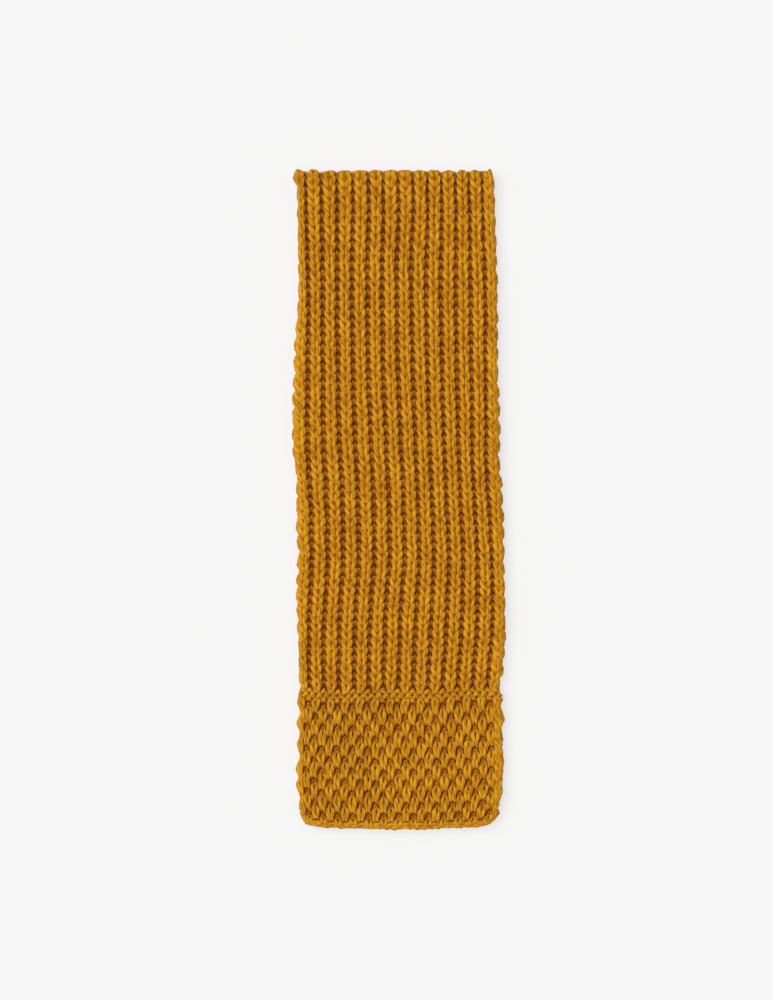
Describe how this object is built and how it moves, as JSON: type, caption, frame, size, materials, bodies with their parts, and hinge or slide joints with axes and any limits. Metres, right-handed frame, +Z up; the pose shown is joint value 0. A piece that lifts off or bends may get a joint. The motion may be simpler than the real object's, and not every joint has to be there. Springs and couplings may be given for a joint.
{
  "type": "knit scarf",
  "caption": "Long chunky scarf in vertical rib knit with a honeycomb band at each end, folded in half across its length and laid flat.",
  "frame": {"origin": "on the surface the scarf lies on, under the middle of the folded scarf", "axes": "+X across the scarf, to the right when the end bands point towards the viewer; +Y along the scarf to the fold; +Z up"},
  "size_m": [0.26, 0.804, 0.0207],
  "materials": {
    "mustard_yarn": "matte, softly fuzzy wool yarn"
  },
  "bodies": {
    "root": {"rib_length": "mustard_yarn", "end_band_upper": "mustard_yarn", "end_band_under": "mustard_yarn", "cast_off_upper": "mustard_yarn", "cast_off_under": "mustard_yarn"}
  },
  "joints": []
}
